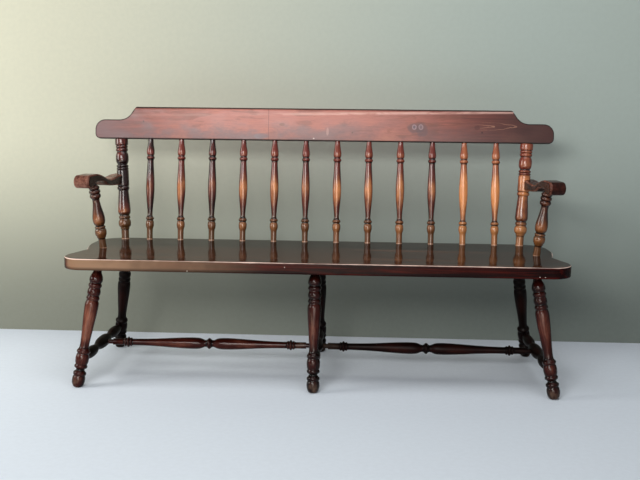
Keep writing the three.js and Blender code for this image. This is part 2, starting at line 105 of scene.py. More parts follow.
# Turned outlines: (place along the piece, diameter). A leg's places are millimetres from the floor,
# and the others' are shares of the piece's own length.

SPINDLE_ROWS = [
    (0, 21.5), (0.06, 21.7), (0.095, 22.2), (0.108, 23.6), (0.12, 27), (0.137, 29.3), (0.154, 30), (0.17, 29),
    (0.182, 26), (0.189, 23.2), (0.1935, 24.5), (0.199, 28.6), (0.205, 29.9), (0.209, 30), (0.2135, 29.3),
    (0.219, 26.5), (0.226, 22.5), (0.235, 19.8), (0.247, 18.6), (0.28, 19.4), (0.33, 22.2), (0.4, 27),
    (0.46, 30), (0.515, 31), (0.57, 30.3), (0.64, 28), (0.71, 25), (0.765, 22.8), (0.785, 22.3), (0.795, 23),
    (0.802, 26), (0.808, 29.2), (0.814, 30), (0.82, 29.3), (0.826, 26.5), (0.8325, 23.2), (0.8365, 22.8),
    (0.841, 24), (0.848, 26.6), (0.86, 28.2), (0.875, 28.6), (0.89, 27.8), (0.91, 25.6), (0.935, 22.8),
    (0.965, 20), (1, 18.6),
]
POST_ROWS = [
    (0, 28), (0.05, 27.7), (0.088, 28), (0.096, 29), (0.1, 32), (0.107, 32.5), (0.113, 32.6), (0.117, 35),
    (0.124, 40), (0.138, 44.3), (0.158, 45.5), (0.176, 44.3), (0.189, 40), (0.196, 36.4), (0.1985, 36),
    (0.202, 38.2), (0.208, 41), (0.2155, 41.6), (0.223, 41), (0.229, 38), (0.2355, 35), (0.24, 36.5),
    (0.25, 42), (0.264, 45.2), (0.281, 46), (0.31, 45.2), (0.36, 42.8), (0.42, 39.5), (0.465, 36.8),
    (0.482, 36), (0.4885, 37), (0.4945, 41), (0.502, 43.6), (0.51, 44), (0.518, 43.6), (0.524, 40.8),
    (0.5275, 38.6), (0.531, 39.5), (0.535, 42.4), (0.54, 43), (0.61, 43.01), (0.684, 43), (0.6875, 42),
    (0.69, 39), (0.693, 39.2), (0.697, 42.5), (0.702, 44), (0.708, 43.4), (0.713, 40), (0.716, 38.6),
    (0.7195, 40), (0.724, 43.2), (0.7306, 44), (0.7365, 42.6), (0.741, 38), (0.745, 34.4), (0.749, 34.8),
    (0.755, 38.2), (0.768, 43.2), (0.788, 46), (0.81, 46.5), (0.832, 45.8), (0.852, 43), (0.865, 39),
    (0.871, 36.6), (0.8745, 37), (0.879, 41), (0.886, 43.6), (0.894, 44), (0.902, 43.2), (0.907, 40),
    (0.9095, 38.8), (0.9125, 40.2), (0.917, 43.2), (0.923, 44), (0.9295, 43), (0.9335, 40.5), (0.9365, 40),
    (0.9395, 43), (0.944, 46.2), (0.95, 46.9), (0.993, 46.9), (1, 46),
]
STUMP_ROWS = [
    (0, 25), (0.1, 24.7), (0.138, 25), (0.15, 26), (0.158, 29), (0.165, 31), (0.178, 31.6), (0.184, 33),
    (0.196, 37), (0.22, 39.4), (0.248, 40), (0.272, 38.8), (0.288, 35.6), (0.294, 33), (0.298, 32.6),
    (0.303, 34.4), (0.31, 36.6), (0.3176, 37), (0.325, 36.2), (0.331, 33), (0.341, 29.2), (0.35, 31),
    (0.367, 36.6), (0.4, 41.4), (0.4426, 42.5), (0.49, 41), (0.55, 36.2), (0.62, 30), (0.68, 25.8),
    (0.7196, 24.5), (0.742, 25.4), (0.754, 27.4), (0.762, 31.5), (0.775, 36.6), (0.797, 38), (0.814, 36.4),
    (0.822, 32.6), (0.8265, 31), (0.832, 33), (0.842, 37.6), (0.86, 39), (0.876, 37.4), (0.885, 33.5),
    (0.89, 31.6), (0.896, 33), (0.906, 36.4), (0.92, 37), (0.933, 35), (0.944, 29), (0.955, 23),
    (0.965, 20.4), (0.972, 20), (1, 19.9),
]
LEG_ROWS = [
    (0.6, 24), (1.4, 28), (4, 31.6), (8, 36.4), (13, 40.2), (20, 42.6), (26, 43.2), (31, 42.6), (36, 40.4),
    (39, 37.8), (40.5, 38.6), (43, 42.6), (46.5, 43.4), (50, 42.4), (52.5, 38), (55, 32), (59, 27.6),
    (62, 30), (64, 36), (66.5, 42), (70, 43.4), (73.5, 42.2), (76, 38.8), (77.5, 38.4), (80, 40.2),
    (86, 43.2), (92, 44.3), (98, 44.6), (104, 43.6), (109, 41), (112.5, 38.2), (114, 38.6), (116.5, 43),
    (120, 45), (123.5, 43.6), (126, 40), (129, 35.5), (135, 31.2), (145, 30.6), (160, 31.6), (190, 35.6),
    (220, 40), (250, 44.2), (277, 46), (286, 44.6), (291, 41), (294, 38.6), (296, 40.5), (300, 44),
    (304, 43.4), (307.5, 40), (309.5, 38.2), (312, 39.5), (316, 42.8), (322, 44), (328, 42.8), (333, 39.4),
    (335.5, 38), (338, 40), (344, 44.6), (348, 43.4), (351, 39.2), (353, 38), (355.5, 40), (360, 43.9),
    (364, 44.6), (370, 43.6), (377, 39.8), (384, 33), (390, 28.2), (394, 27),
]
LEG = dict(foot=22, tenon=24, socket=dict(front=91.89, rear=96.89))
LEG_STANCE = dict(
    front_end=105.5, rear_end=121, front_splay=63.5, rear_splay=67, front_top=89.4, front_foot=18.1,
    middle_front_foot=20, rear_top=54, rear_foot=69, middle_rear_foot=71,
)
FLOOR_CUT = 0.05

# Stretchers: half an outline, from the middle out, as shares of half the span.
STRETCHER_ROWS = {
    "side": [
        (0, 42), (0.07, 41.3), (0.14, 38.6), (0.21, 32.8), (0.27, 26.6), (0.32, 23.8), (0.37, 25.7),
        (0.44, 31.8), (0.5, 35.6), (0.57, 36.9), (0.64, 36), (0.72, 31.8), (0.8, 24.4), (0.86, 19.5),
        (0.91, 18.6),
    ],
    "long": [
        (0, 39.2), (0.004, 38.9), (0.009, 37), (0.015, 32), (0.022, 27.2), (0.029, 24.8), (0.036, 24.6),
        (0.044, 25.6), (0.055, 29), (0.068, 33.4), (0.085, 37.4), (0.105, 39.6), (0.13, 40.7), (0.16, 41),
        (0.2, 40.4), (0.24, 39.2), (0.32, 35.9), (0.4, 32), (0.48, 28.3), (0.57, 25), (0.66, 23.5),
        (0.71, 23.1), (0.7185, 23.4), (0.723, 26), (0.727, 29.8), (0.731, 31), (0.735, 29.8), (0.7385, 27.4),
        (0.742, 27), (0.7455, 29), (0.75, 34), (0.754, 36.6), (0.757, 37.3), (0.76, 36.6), (0.764, 34),
        (0.7685, 29), (0.772, 27), (0.7755, 27.4), (0.779, 29.8), (0.783, 31), (0.787, 29.8), (0.791, 26),
        (0.7955, 23.4), (0.8, 23.2), (0.9, 22.9),
    ],
}
STRETCHER_TENON = dict(side=dict(inset=22.3, depth=20, width=17), long=dict(inset=21, depth=12, width=16))

# An upright's tenons: how deep they go at the foot and at the top, and how wide the top one is
UPRIGHT_TENONS = dict(spindle=(24, 25, 14), post=(24, 40, 18), stump=(24, 18, 19.9))

# How far the stain has worn from dark (0) to amber (1), and past either: (share of the way up, wear).
# The brightest places on the bellies and balls are partly painted highlights.
# The posts differ, so each has its own, by side: -1 is left and 1 is right.
SPINDLE_WEAR = [
    (0, 0.3), (0.09, 0.3), (0.115, 0.42), (0.16, 0.56), (0.183, 0.42), (0.195, 0.1), (0.209, 0.36),
    (0.235, 0.05), (0.25, 0.12), (0.33, 0.24), (0.4, 0.4), (0.46, 0.56), (0.52, 0.66), (0.57, 0.6),
    (0.63, 0.38), (0.7, 0.2), (0.76, 0.15), (0.78, 0.2), (0.797, 0.05), (0.815, 0.35), (0.837, 0),
    (0.852, 0.42), (0.875, 0.44), (0.9, 0.25), (1, 0.15),
]
POST_WEAR = {
    -1: [
        (0, 0.26), (0.09, 0.26), (0.11, 0.16), (0.14, 0.36), (0.16, 0.32), (0.19, 0.16), (0.215, 0.22),
        (0.237, -0.24), (0.27, 0.6), (0.31, 0.52), (0.36, 0.28), (0.42, 0.08), (0.48, -0.04), (0.51, 0),
        (0.6, -0.24), (0.66, -0.24), (0.69, -0.04), (0.73, -0.1), (0.745, -0.34), (0.79, 0.06), (0.85, 0.08),
        (0.9, 0.1), (1, 0.14),
    ],
    1: [
        (0, 0.8), (0.11, 0.75), (0.14, 1.1), (0.17, 1.1), (0.19, 0.6), (0.215, 0.6), (0.237, 0.2),
        (0.27, 0.54), (0.36, 0.52), (0.45, 0.55), (0.48, 0.6), (0.51, 0.75), (0.53, 0.72), (0.6, 0.75),
        (0.66, 0.85), (0.69, 0.7), (0.7, 0.4), (0.73, 0.55), (0.745, 0.3), (0.79, 0.7), (0.85, 0.5),
        (0.9, 0.6), (1, 0.6),
    ],
}
STUMP_WEAR = [
    (0, 0.3), (0.14, 0.3), (0.19, 0.5), (0.25, 0.62), (0.29, 0.25), (0.317, 0.5), (0.34, 0.1), (0.4, 0.62),
    (0.47, 0.55), (0.56, 0.26), (0.7, 0.18), (0.76, 0.15), (0.8, 0.32), (0.827, 0.05), (0.86, 0.3),
    (0.89, 0.05), (0.92, 0.3), (1, 0.15),
]
LEG_WEAR = [
    (0, 0.1), (0.1, 0.12), (0.15, 0.1), (0.19, 0.25), (0.25, 0.32), (0.3, 0.15), (0.33, 0.1), (0.4, 0.42),
    (0.55, 0.5), (0.7, 0.38), (0.76, 0.15), (0.83, 0.3), (0.87, 0.1), (0.92, 0.3), (1, 0.05),
]
STRETCHER_WEAR = [
    (0, 0.2), (0.2, 0.3), (0.35, 0.42), (0.47, 0.32), (0.5, 0.15), (0.53, 0.32), (0.65, 0.42), (0.8, 0.3),
    (1, 0.2),
]

# What each of the others adds to its wear: the spindles from left to right, and the rest by side.
# The rear legs, the side stretchers and the right long stretcher are darkened as painted shade.
SPINDLE_TONES = [-0.22, 0.1, -0.17, 0.12, 0.12, 0.02, 0.18, 0.15, 0.18, -0.02, 0.6, 0.54]
STUMP_TONES = {-1: 0.08, 1: 0.2}
LEG_TONES = {"front": {-1: 0.24, 0: -0.02, 1: 0.04}, "rear": {-1: -0.3, 0: -0.35, 1: -0.35}}
SIDE_STRETCHER_SHADE, LONG_STRETCHER_TONES = -0.3, {-1: 0.08, 1: -0.12}

# The arms by side: their wear, the painted shade on the face towards the seat, and a painted highlight along
# that face's rim.
# That face and its rim start at these shares of the half width.
ARM_MARKS = {-1: dict(wear=0.63, glaze_and_shade=3, rim=0), 1: dict(wear=0.26, glaze_and_shade=1.2, rim=0.34)}
INNER_RIM, INNER_FACE = 0.7, 0.97

# Painted light and shade on a turning, paler on its front and back and darker on its sides: how much, and the
# facing that stays even
PAINTED_FACING_LIGHT = dict(gain=0.5, even=0.84)

# Each turning is cut from wood of its own: the turn and the steps in metres from one to the next
STICK_TURN = 1.9
STICK_STEPS = (0.173, 0.091, 0.617)
STICK_NUMBERS = dict(spindle=1, post=20, stump=30, leg=40, side=50, long=56)
GROOVE_REACH = 7

BACK_WOOD, LEG_WOOD, ARM_WOOD = "back_wood", "leg_wood", "arm_wood"
SEAT_WOOD, CREST_WOOD = "seat_wood", "crest_wood"
SHADED_LEGS, ROLLED_ARMS = "shaded_leg_wood", "rolled_arm_wood"
# The right long stretcher takes the darker copy of the leg wood, as painted shade
LONG_STRETCHER_FINISH = {-1: LEG_WOOD, 1: SHADED_LEGS}
finishes = {}


# Curves and outlines

def curve_through(points, steps):
    """A smooth curve through flat points, with some steps from each one to the next."""
    ends = [points[0], *points, points[-1]]
    curve = [Vector(points[0])]
    for a, b, c, d in zip(ends, ends[1:], ends[2:], ends[3:]):
        a, b, c, d = Vector(a), Vector(b), Vector(c), Vector(d)
        start, finish = (c - a) / 2, (d - b) / 2
        for step in range(1, steps + 1):
            t = step / steps
            bend = (2 * b - 2 * c + start + finish) * t**3
            curve.append(bend + (3 * c - 3 * b - 2 * start - finish) * t**2 + start * t + b)
    return curve


def arc(x, y, radius, start, finish, steps):
    turns = [radians(start + (finish - start) * step / steps) for step in range(steps + 1)]
    return [Vector((x + radius * cos(turn), y + radius * sin(turn))) for turn in turns]


def eased_rows(table, length=1, pitch=PITCH["upright"]):
    """A table's rows over a length, filled in with a curve that never swells past them."""
    rows = [(share * length, wide) for share, wide in table]
    rises = [(b[1] - a[1]) / (b[0] - a[0]) for a, b in zip(rows, rows[1:])]
    inner = [0 if a * b <= 0 else 2 * a * b / (a + b) for a, b in zip(rises, rises[1:])]
    slopes = [rises[0], *inner, rises[-1]]
    filled = []
    for (place, wide), (next_place, next_wide), slope, next_slope in zip(rows, rows[1:], slopes, slopes[1:]):
        gap = next_place - place
        count = max(1, round(gap / pitch))
        for step in range(count):
            t = step / count
            held = (1 + 2 * t) * (1 - t) ** 2 * wide + t * t * (3 - 2 * t) * next_wide
            swung = t * (1 - t) ** 2 * gap * slope - t * t * (1 - t) * gap * next_slope
            filled.append((place + gap * t, held + swung))
    return [*filled, rows[-1]]


def mirrored_outline(right_half):
    return [*right_half, *(Vector((-point.x, point.y)) for point in reversed(right_half))]


def without_repeats(outline):
    return [point for point, last in zip(outline, [outline[-1], *outline]) if (point - last).length > REPEAT]


# Making and keeping pieces

def move(data, matrix):
    bmesh.ops.transform(data, matrix=matrix, verts=data.verts)


def made_object(data, name, material):
    mesh = bpy.data.meshes.new(name)
    data.to_mesh(mesh)
    data.free()
    mesh.materials.append(material)
    made = bpy.data.objects.new(name, mesh)
    bpy.context.scene.collection.objects.link(made)
    return made


def keep_piece(data, name, node, slot, corner=CORNER["board"], finish=None):
    """Keeps the finished mesh as a piece that stands for a node of the model."""
    bmesh.ops.remove_doubles(data, verts=data.verts, dist=MERGE)
    bmesh.ops.recalc_face_normals(data, faces=data.faces)
    move(data, PLACE)
    piece = made_object(data, name, finishes[finish or slot])
    piece.data.shade_smooth()
    piece.data.set_sharp_from_angle(angle=radians(corner))
    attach(piece, "root")
    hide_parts(node)


def cut_across(data, place, normal, **settings):
    """Cuts every face along a plane, and gives what lies on the cut."""
    whole = [*data.verts, *data.edges, *data.faces]
    return bmesh.ops.bisect_plane(data, geom=whole, plane_co=place, plane_no=normal, **settings)["geom_cut"]


def hollows_of(rows):
    """How far each row lies in a groove (above zero) or stands on a ring (below zero)."""
    found = []
    for place, wide in rows:
        near = [other for at, other in rows if abs(at - place) <= GROOVE_REACH]
        found.append(sum(near) / len(near) - wide)
    return found


def turn(rows, low, high, sides=ROUND["thick"]):
    """Turns a piece about +Z. Low and high are the (end, diameter) of the tenons below and above the rows."""
    outline = [(low[0], 0), low, (rows[0][0], low[1]), *rows, (rows[-1][0], high[1]), high, (high[0], 0)]
    data = bmesh.new()
    line = [data.verts.new((wide / 2, 0, place)) for place, wide in outline]
    edges = [data.edges.new(pair) for pair in zip(line, line[1:]) if (pair[0].co - pair[1].co).length > 0]
    around = dict(cent=(0, 0, 0), axis=(0, 0, 1), angle=2 * pi)
    bmesh.ops.spin(data, geom=line + edges, **around, steps=sides, use_merge=True)
    bmesh.ops.remove_doubles(data, verts=data.verts, dist=MERGE)
    return data


def turn_upright(kind, table, length, short=0, sides=ROUND["thick"]):
    """Turns a spindle, post or stump between its tenons, and gives its rows too."""
    foot, top, width = UPRIGHT_TENONS[kind]
    rows = eased_rows(table, length - short)
    return turn(rows, (-foot, rows[0][1]), (length + top, width), sides), rows


def wear_at(share, table):
    """The wear at a share of the way up, straight between the table's places."""
    places = [place for place, wear in table]
    index = min(max(bisect_left(places, share), 1), len(table) - 1)
    (low, low_wear), (high, high_wear) = table[index - 1], table[index]
    return low_wear + (high_wear - low_wear) * min(1, max(0, (share - low) / (high - low)))


def mark_grain(data, rows, number, table, tone=0):
    """Stores each point's place in its own stick of wood, its depth in a groove, its height, and its wear with
    painted light and shade by facing added.
    """
    grain = data.verts.layers.float_vector.new("grain")
    hollow, along, wear = (data.verts.layers.float.new(name) for name in ("hollow", "along", "wear"))
    places = [place for place, wide in rows]
    depths = hollows_of(rows)
    low, high = places[0], places[-1]
    own_place = Vector([number * step for step in STICK_STEPS])
    for vert in data.verts:
        index = min(bisect_left(places, vert.co.z - 0.001), len(places) - 1)
        vert[hollow] = depths[index]
        vert[along] = vert.co.z - low
        # Painted light and shade: the front and back paler, the sides darker
        facing = abs(vert.co.y) / max(vert.co.xy.length, 0.1)
        painted_light = PAINTED_FACING_LIGHT["gain"] * (facing - PAINTED_FACING_LIGHT["even"])
        vert[wear] = wear_at((vert.co.z - low) / (high - low), table) + tone + painted_light
        vert[grain] = Matrix.Rotation(number * STICK_TURN, 3, "Z") @ (vert.co * MM) + own_place


def keep_turning(data, place, name, node, slot, finish=None):
    move(data, place)
    keep_piece(data, name, node, slot, CORNER["turned"], finish)


def aimed(foot, top):
    foot, top = Vector(foot), Vector(top)
    return Matrix.Translation(foot) @ Vector((0, 0, 1)).rotation_difference(top - foot).to_matrix().to_4x4()


def board(outline, thickness):
    """A flat board from its outline in x and y, with its underside at z 0."""
    data = bmesh.new()
    face = data.faces.new([data.verts.new((point.x, point.y, 0)) for point in without_repeats(outline)])
    grown = bmesh.ops.extrude_face_region(data, geom=[face])
    top = [item for item in grown["geom"] if isinstance(item, bmesh.types.BMVert)]
    bmesh.ops.translate(data, vec=(0, 0, thickness), verts=top)
    bmesh.ops.recalc_face_normals(data, faces=data.faces)
    return data


def ease_edges(data, height, ease, segments):
    """Rounds the arris all round a board at one height."""
    rim = [edge for edge in data.edges if all(abs(vert.co.z - height) < 0.01 for vert in edge.verts)]
    shape = dict(segments=segments, profile=0.5, affect="EDGES", material=-1, clamp_overlap=False)
    bmesh.ops.bevel(data, geom=rim, offset=ease, offset_type="OFFSET", **shape)


def firm_flats(data, thickness, ease, ring=0.8, beside=0.6, large=500):
    """Narrow rings of faces beside the rounded arrises, so that the large flats between them shade flat."""
    for height in (ease + beside, thickness - ease - beside):
        cut_across(data, (0, 0, height), (0, 0, 1))
    flats = [face for face in data.faces if abs(face.normal.z) > 0.999 and face.calc_area() > large]
    bmesh.ops.inset_individual(data, faces=flats, thickness=ring, use_even_offset=True)


# The boards

def seat_outline():
    def lobe(shares):
        depth, draw = SEAT["depth"], SEAT["end_draw"]
        places = [(SEAT_END - inward * draw, SEAT_FRONT + along * depth) for inward, along in shares]
        return curve_through(places, 6)

    radius = SEAT["corner"]
    corner = arc(SEAT_END - radius, SEAT_FRONT + radius, radius, -90, 0, 14)
    return mirrored_outline([*corner, *lobe(FRONT_LOBE)[1:], *lobe(REAR_LOBE)[1:]])


def mark_seat(data):
    """Stores where the top arris is worn pale and painted with a highlight, and which points are on the plank's
    edge.
    """
    arris = data.verts.layers.float.new("arris")
    side = data.verts.layers.float.new("side")
    ease, thick = SEAT["top_ease"], SEAT["thickness"]
    for vert in data.verts:
        rise = (vert.co.z - thick + ease) / ease
        vert[arris] = max(0, 1 - abs(rise - 0.7) * 2) if 0 < rise < 0.99 else 0
        vert[side] = min(1, max(0, (1 - rise) * 4))


def make_seat():
    data = board(seat_outline(), SEAT["thickness"])
    ease_edges(data, SEAT["thickness"], SEAT["top_ease"], 6)
    ease_edges(data, 0, SEAT["low_ease"], 3)
    firm_flats(data, SEAT["thickness"], SEAT["top_ease"])
    mark_seat(data)
    bmesh.ops.translate(data, vec=(0, 0, SEAT_UNDER), verts=data.verts)
    keep_piece(data, "plank_seat", "seat_plank", SEAT_WOOD)


def crest_outline():
    low, high, shoulder = CREST["low_corner"], CREST["high_corner"], CREST["end_height"]
    foot, length, step = CREST_END - CREST_OGEE["shoulder"], CREST_OGEE["length"], CREST["height"] - shoulder
    places = [(foot - along * length, shoulder + up * step) for along, up in OGEE]
    bottom = arc(CREST_END - low, low, low, -90, 0, 8)
    top = arc(CREST_END - high, shoulder - high, high, 0, 90, 16)
    return mirrored_outline([*bottom, *top, *curve_through(places, 5)])


def mark_crest(data):
    """Stores which points are on the board's rim: its arris all round, and the top of the rolled one."""
    rim = data.verts.layers.float.new("rim")
    data.normal_update()
    for vert in data.verts:
        depth = CREST["height"] - vert.co.y
        bent = any(abs(face.normal.z) < 0.99 for face in vert.link_faces)
        on_roll = depth < CREST_ROLL and vert.co.z > CREST["thickness"] / 3
        vert[rim] = min(1, max(0, 3.2 - depth / 2.2)) if on_roll else float(bent)


def roll_top_arris(data):
    """Rounds the front of the straight top over a wider strip."""
    top, front = CREST["height"], CREST["thickness"]
    for depth in CREST_ROLL_CUTS:
        cut_across(data, (0, top - depth, 0), (0, 1, 0))
    for vert in data.verts:
        short = CREST_ROLL - (top - vert.co.y)
        if short > 0:
            limit = front - CREST_ROLL + sqrt(max(0, CREST_ROLL**2 - short**2))
            vert.co.z = min(vert.co.z, limit)


def make_crest():
    data = board(crest_outline(), CREST["thickness"])
    ease_edges(data, CREST["thickness"], CREST["ease"], 3)
    ease_edges(data, 0, CREST["ease"], 3)
    roll_top_arris(data)
    firm_flats(data, CREST["thickness"], CREST["ease"], ring=2.4)
    mark_crest(data)
    upright = Matrix.Translation((0, CREST["thickness"] / 2, 0)) @ Matrix.Rotation(pi / 2, 4, "X")
    move(data, BACK_PLANE @ Matrix.Translation((0, 0, BACK_HEIGHT + GLUE_GAP)) @ upright)
    keep_piece(data, "crest_board", "crest_rail", CREST_WOOD)


# The back's turnings

def make_spindle(index):
    data, rows = turn_upright("spindle", SPINDLE_ROWS, BACK_HEIGHT, sides=ROUND["thin"])
    mark_grain(data, rows, STICK_NUMBERS["spindle"] + index, SPINDLE_WEAR, SPINDLE_TONES[index])
    across = SPINDLE_SPREAD * (2 * index / (SPINDLE_COUNT - 1) - 1)
    place = BACK_PLANE @ Matrix.Translation((across, 0, 0))
    number = f"{index + 1:02d}"
    keep_turning(data, place, f"turned_spindle_{number}", f"back_spindle_{number}", BACK_WOOD)


def make_post(side, name):
    data, rows = turn_upright("post", POST_ROWS, POST_LENGTH, BACK["post_short"])
    mark_grain(data, rows, STICK_NUMBERS["post"] + side, POST_WEAR[side])
    splayed = Matrix.Translation((side * POST_SPREAD, 0, 0)) @ Matrix.Rotation(side * POST_SPLAY, 4, "Y")
    keep_turning(data, BACK_PLANE @ splayed, f"turned_post_{name}", f"back_post_{name}", BACK_WOOD)


# Arms and stumps

def arm_place(side):
    rise = (ARM["rise"] + ARM_PLACE["screw_height"]) / cos(LEAN)
    across = POST_SPREAD + rise * tan(POST_SPLAY) + ARM_PLACE["beside_post"]
    place = Matrix.Translation((side * across, FOOT_LINE + rise * sin(LEAN), SEAT["top"] + ARM["rise"]))
    return place @ Matrix.Rotation(side * ARM_PLACE["swing"], 4, "Z")


def arm_outline():
    def edge(shares):
        return curve_through([(-along * ARM["reach"], up * ARM["height"]) for along, up in shares], 3)

    roll = arc(ARM["roll"] - ARM["reach"], ARM["height"] - ARM["roll"], ARM["roll"], 90, 270, 20)
    rear = [Vector((ARM["lap"], 0)), Vector((ARM["lap"], ARM_OVER[0][1] * ARM["height"]))]
    return [*roll, *edge(ARM_UNDER), *rear, *edge(ARM_OVER)]


def make_arm(side, name):
    width = ARM["front_width"]
    data = board(arm_outline(), width)
    ease_edges(data, width, ARM["ease"], 5)
    ease_edges(data, 0, ARM["ease"], 5)
    firm_flats(data, width, ARM["ease"])
    upright = Matrix.Rotation(pi / 2, 4, "Z") @ Matrix.Rotation(pi / 2, 4, "X")
    move(data, Matrix.Translation((-width / 2, 0, 0)) @ upright)
    for vert in data.verts:
        forward = -vert.co.y / ARM["reach"]
        vert.co.x *= (ARM["rear_width"] + (width - ARM["rear_width"]) * forward) / width
    mark_arm_grain(data, side)
    move(data, arm_place(side))
    keep_piece(data, f"rolled_arm_{name}", f"arm_{name}", ARM_WOOD, finish=ROLLED_ARMS)


def mark_arm_grain(data, side):
    """Stores an arm's grain, which runs to the front, its wear, the painted shade of its face towards the seat,
    and the painted highlight along that face's rim.
    """
    grain = data.verts.layers.float_vector.new("grain")
    hollow, wear = (data.verts.layers.float.new(name) for name in ("hollow", "wear"))
    marks = ARM_MARKS[side]
    for vert in data.verts:
        x, y, z = vert.co * MM
        vert[grain] = Vector((x + side, z, y))
        half = (ARM["rear_width"] - (ARM["front_width"] - ARM["rear_width"]) * vert.co.y / ARM["reach"]) / 2
        inward = -vert.co.x * side / half
        # Painted shade on the face towards the seat, and a painted highlight along its rim
        vert[hollow] = marks["glaze_and_shade"] if inward > INNER_FACE else 0
        vert[wear] = marks["wear"] + (marks["rim"] if INNER_RIM < inward <= INNER_FACE else 0)


def make_stump(side, name):
    hollow = max(up for along, up in ARM_UNDER) * ARM["height"]
    inset, behind = STUMP_PLACE["top_inset"], STUMP_PLACE["top_behind_front"]
    top = arm_place(side) @ Vector((-side * inset, behind - ARM["reach"], hollow))
    across, back = SEAT_END - STUMP_PLACE["end_inset"], SEAT_FRONT + STUMP_PLACE["behind_front"]
    foot = Vector((side * across, back, SEAT["top"]))
    data, rows = turn_upright("stump", STUMP_ROWS, (top - foot).length)
    mark_grain(data, rows, STICK_NUMBERS["stump"] + side, STUMP_WEAR, STUMP_TONES[side])
    keep_turning(data, aimed(foot, top), f"turned_stump_{name}", f"arm_stump_{name}", ARM_WOOD)


# Legs and stretchers

def leg_ends(side, where):
    """The places of a leg's foot on the floor and of its top under the seat."""
    stance = LEG_STANCE
    foot = stance[f"{where}_foot" if side else f"middle_{where}_foot"]
    if where == "front":
        top_y, foot_y = SEAT_FRONT + stance["front_top"], SEAT_FRONT + foot
    else:
        top_y, foot_y = SEAT_REAR - stance["rear_top"], SEAT_REAR + foot
    top_x = SEAT_END - stance[f"{where}_end"]
    splayed = Vector((side * (top_x + stance[f"{where}_splay"]), foot_y, 0))
    return splayed, Vector((side * top_x, top_y, SEAT_UNDER))


def socket_place(side, where):
    foot, top = leg_ends(side, where)
    return foot + (top - foot).normalized() * LEG["socket"][where]


def make_leg(side, where, name, number):
    foot, top = leg_ends(side, where)
    length = (top - foot).length
    rows = eased_rows(LEG_ROWS)
    rows.append((length, rows[-1][1]))
    data = turn(rows, (0, LEG["foot"]), (length + LEG["tenon"], rows[-1][1]))
    mark_grain(data, rows, number, LEG_WEAR, LEG_TONES[where][side])
    move(data, aimed(foot, top))
    cut = cut_across(data, (0, 0, FLOOR_CUT), (0, 0, 1), clear_inner=True)
    rim = [item for item in cut if isinstance(item, bmesh.types.BMEdge)]
    if rim:
        bmesh.ops.holes_fill(data, edges=rim, sides=0)
    # The rear legs take a darker copy of the leg wood, as painted shade
    finish = LEG_WOOD if where == "front" else SHADED_LEGS
    keep_piece(data, f"turned_leg_{where}_{name}", f"leg_{where}_{name}", LEG_WOOD, CORNER["turned"], finish)


def make_stretcher(kind, name, start, stop, number, tone, finish):
    tenon = STRETCHER_TENON[kind]
    half = (stop - start).length / 2
    outward = eased_rows(STRETCHER_ROWS[kind], half, PITCH["stretcher"])
    rows = [*((-place, wide) for place, wide in reversed(outward[1:])), *outward]
    reach = half - tenon["inset"] + tenon["depth"]
    data = turn(rows, (-reach, tenon["width"]), (reach, tenon["width"]), ROUND["thin"])
    mark_grain(data, rows, STICK_NUMBERS[kind] + number, STRETCHER_WEAR, tone)
    node = f"{kind}_stretcher_{name}"
    keep_turning(data, aimed((start + stop) / 2, stop), f"turned_{node}", node, LEG_WOOD, finish)


def make_undercarriage():
    middles = {}
    for count, (side, name) in enumerate([(-1, "left"), (0, "middle"), (1, "right")]):
        for where in ("front", "rear"):
            make_leg(side, where, name, STICK_NUMBERS["leg"] + 2 * count + (where == "rear"))
        start, stop = socket_place(side, "front"), socket_place(side, "rear")
        middles[side] = (start + stop) / 2
        # The side stretchers take the darker copy of the leg wood too, as painted shade
        make_stretcher("side", name, start, stop, count, SIDE_STRETCHER_SHADE, SHADED_LEGS)
    for side, name in SIDE_NAMES:
        tone, finish = LONG_STRETCHER_TONES[side], LONG_STRETCHER_FINISH[side]
        make_stretcher("long", name, middles[0], middles[side], side, tone, finish)


# Finishes

# Colours are given as 0 to 255, as the eye sees them. A turned wood's shades are its dark stain, its middle,
# its bright wear and the glazing in its grooves, which also serves as painted shade on the arms' faces towards
# the seat; gloss is its roughness, and shine how strongly it mirrors.
TURNED_WOODS = {
    BACK_WOOD: dict(name="stained back turnings", gloss=0.15, shine=0.42, ring=0.6, ground_reflection=0.45, blush=0.6,
                    shades=[(30, 10, 8), (96, 42, 31), (229, 148, 89), (10, 4, 3)]),
    ARM_WOOD: dict(name="stained arms", gloss=0.14, shine=0.34, ring=0.5, ground_reflection=0.35,
                   shades=[(22, 8, 7), (72, 36, 24), (166, 100, 56), (9, 4, 3)]),
    ROLLED_ARMS: dict(name="rolled arms", gloss=0.2, shine=0.1,
                      shades=[(24, 9, 7), (70, 34, 26), (182, 128, 108), (9, 4, 3)]),
    LEG_WOOD: dict(name="dark leg turnings", gloss=0.11, shine=0.16, scuff=0.5,
                   shades=[(16, 5, 4), (58, 17, 11), (148, 90, 70), (6, 3, 2)]),
    # A darker copy of the leg wood: painted shade on the rear legs and the stretchers under the seat
    SHADED_LEGS: dict(name="leg turnings in painted shade", gloss=0.34, shine=0.06, scuff=0.2,
                    shades=[(12, 4, 3), (38, 12, 8), (84, 36, 22), (5, 2, 2)]),
}

# Where these lie up a turning, in millimetres: the golden painted reflection of the bright ground near the
# foot, the redder top, the pale line round the joint with the seat, and the scuffed foot of a leg
GROUND_REFLECTION_REACH, BLUSH_REACH, RING_REACH, SCUFF_REACH = (115, 60), (200, 340), (2.2, 0.8), (50, 8)

